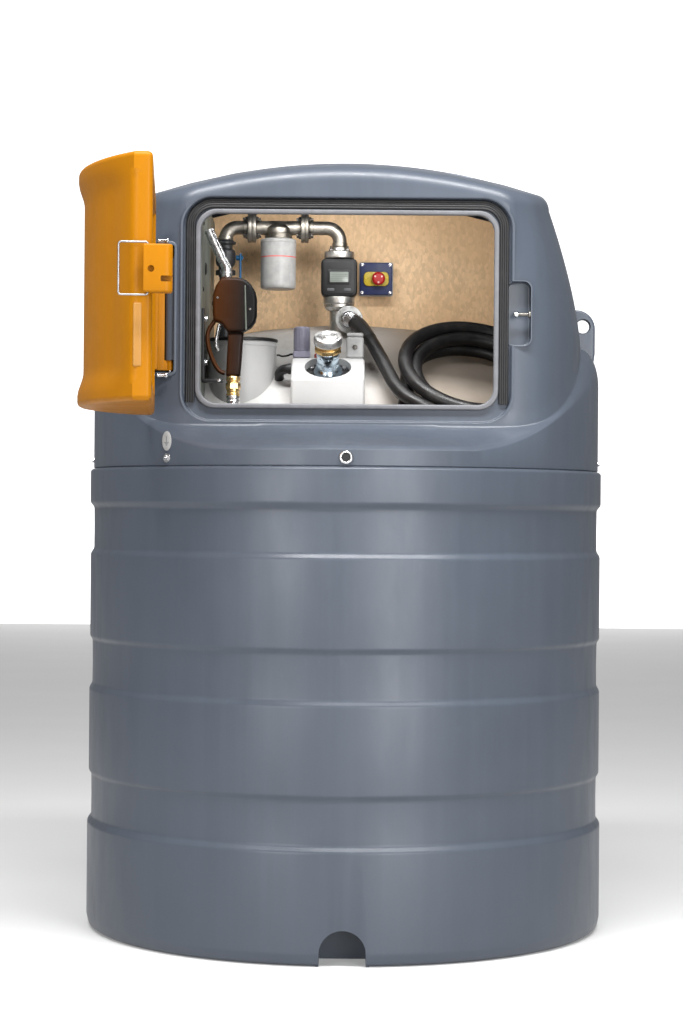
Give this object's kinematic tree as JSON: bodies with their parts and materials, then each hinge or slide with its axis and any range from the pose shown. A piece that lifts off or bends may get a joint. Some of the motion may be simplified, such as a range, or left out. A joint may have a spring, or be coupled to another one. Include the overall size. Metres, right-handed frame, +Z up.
{
  "type": "diesel tank",
  "caption": "Round two-skinned plastic diesel tank with a moulded hood and an open dispensing cabinet: filter, flow meter, hose, nozzle and filler behind a hinged door.",
  "frame": {"origin": "centre of the round flat base, at the level of the ground", "axes": "+Z up, the cabinet faces -Y, +X towards the viewer's right when facing the cabinet"},
  "size_m": [1.3026, 1.9111, 1.915],
  "materials": {
    "slate_polyethylene": "satin",
    "natural_polyethylene": "satin",
    "orange_polyethylene": "satin",
    "black_rubber": "matte",
    "black_plastic": "satin",
    "grey_pipe": "satin",
    "bright_steel": "gloss",
    "aluminium": "satin",
    "brass": "satin",
    "white_paint": "gloss",
    "blue_plastic": "satin",
    "yellow_plastic": "gloss",
    "red_plastic": "gloss",
    "tan_board": "matte",
    "grey_green_panel": "matte",
    "lilac_plastic": "satin"
  },
  "bodies": {
    "tank": {"bund_wall": "slate_polyethylene", "bund_floor": "slate_polyethylene", "hood": "slate_polyethylene", "inner_tank_floor": "natural_polyethylene", "inner_tank_wall": "natural_polyethylene", "inner_tank_top": "natural_polyethylene", "inspection_neck": "natural_polyethylene", "filler_block": "natural_polyethylene", "door_seal": "black_rubber", "breather_hose": "black_rubber", "sensor_cable": "black_rubber", "hose_lead": "black_rubber", "hose_return": "black_rubber", "hose_coil": "black_rubber", "suction_valve": "black_plastic", "meter_body": "black_plastic", "inspection_cap": "black_plastic", "nozzle_body": "black_plastic", "nozzle_grip": "black_plastic", "nozzle_guard": "black_plastic", "nozzle_holder": "black_plastic", "left_elbow": "grey_pipe", "pipe_flange_left": "grey_pipe", "filter_head": "grey_pipe", "pipe_flange_right": "grey_pipe", "right_elbow": "grey_pipe", "meter_top_flange": "grey_pipe", "meter_bottom_flange": "grey_pipe", "outlet_pipe": "grey_pipe", "lock_stud": "bright_steel", "hinge_bolt_top": "bright_steel", "hinge_bolt_bottom": "bright_steel", "seam_bolt_left": "bright_steel", "seam_bolt_right": "bright_steel", "earth_bolt": "bright_steel", "front_plug": "bright_steel", "filler_neck": "bright_steel", "hose_tail": "bright_steel", "outlet_plate": "aluminium", "nozzle_spout": "aluminium", "filler_ring": "brass", "nozzle_swivel": "brass", "earth_plate": "white_paint", "filter_cartridge": "white_paint", "junction_box": "white_paint", "switch_box": "blue_plastic", "switch_plate": "yellow_plastic", "mounting_board": "tan_board", "side_panel": "grey_green_panel", "meter_display": "grey_green_panel", "gauge_base": "lilac_plastic", "gauge_cap": "lilac_plastic"},
    "door": {"door_panel": "orange_polyethylene"},
    "bail": {"door_bail": "bright_steel"},
    "lever": {"valve_lever": "blue_plastic"},
    "button": {"stop_button": "red_plastic"},
    "cap": {"filler_cap": "aluminium"},
    "trigger": {"nozzle_trigger": "aluminium"}
  },
  "joints": [
    {"name": "door_hinge", "type": "hinge", "parent": "tank", "child": "door", "pos_m": [-0.421, -0.4165, 1.52], "axis": [0, 0, 1], "range_deg": [-4, 86]},
    {"name": "bail_pivot", "type": "hinge", "parent": "door", "child": "bail", "pos_m": [-0.40695, -1.24253, 1.5305], "axis": [0, 0, 1], "range_deg": [-20, 90]},
    {"name": "valve_lever_turn", "type": "hinge", "parent": "tank", "child": "lever", "pos_m": [-0.273, 0, 1.688], "axis": [-1, 0, 0], "range_deg": [0, 90]},
    {"name": "stop_button_push", "type": "slide", "parent": "tank", "child": "button", "axis": [0, 1, 0], "range_m": [0, 0.004], "stiffness_N_per_m": 600},
    {"name": "filler_cap_turn", "type": "hinge", "parent": "tank", "child": "cap", "pos_m": [-0.046, -0.3, 1.466], "axis": [0, -0.515, 0.8572], "range_deg": [0, 270]},
    {"name": "nozzle_trigger_pull", "type": "hinge", "parent": "tank", "child": "trigger", "pos_m": [-0.3075, -0.34, 1.4926], "axis": [0, -1, 0], "range_deg": [0, 8], "stiffness_Nm_per_rad": 0.6}
  ]
}
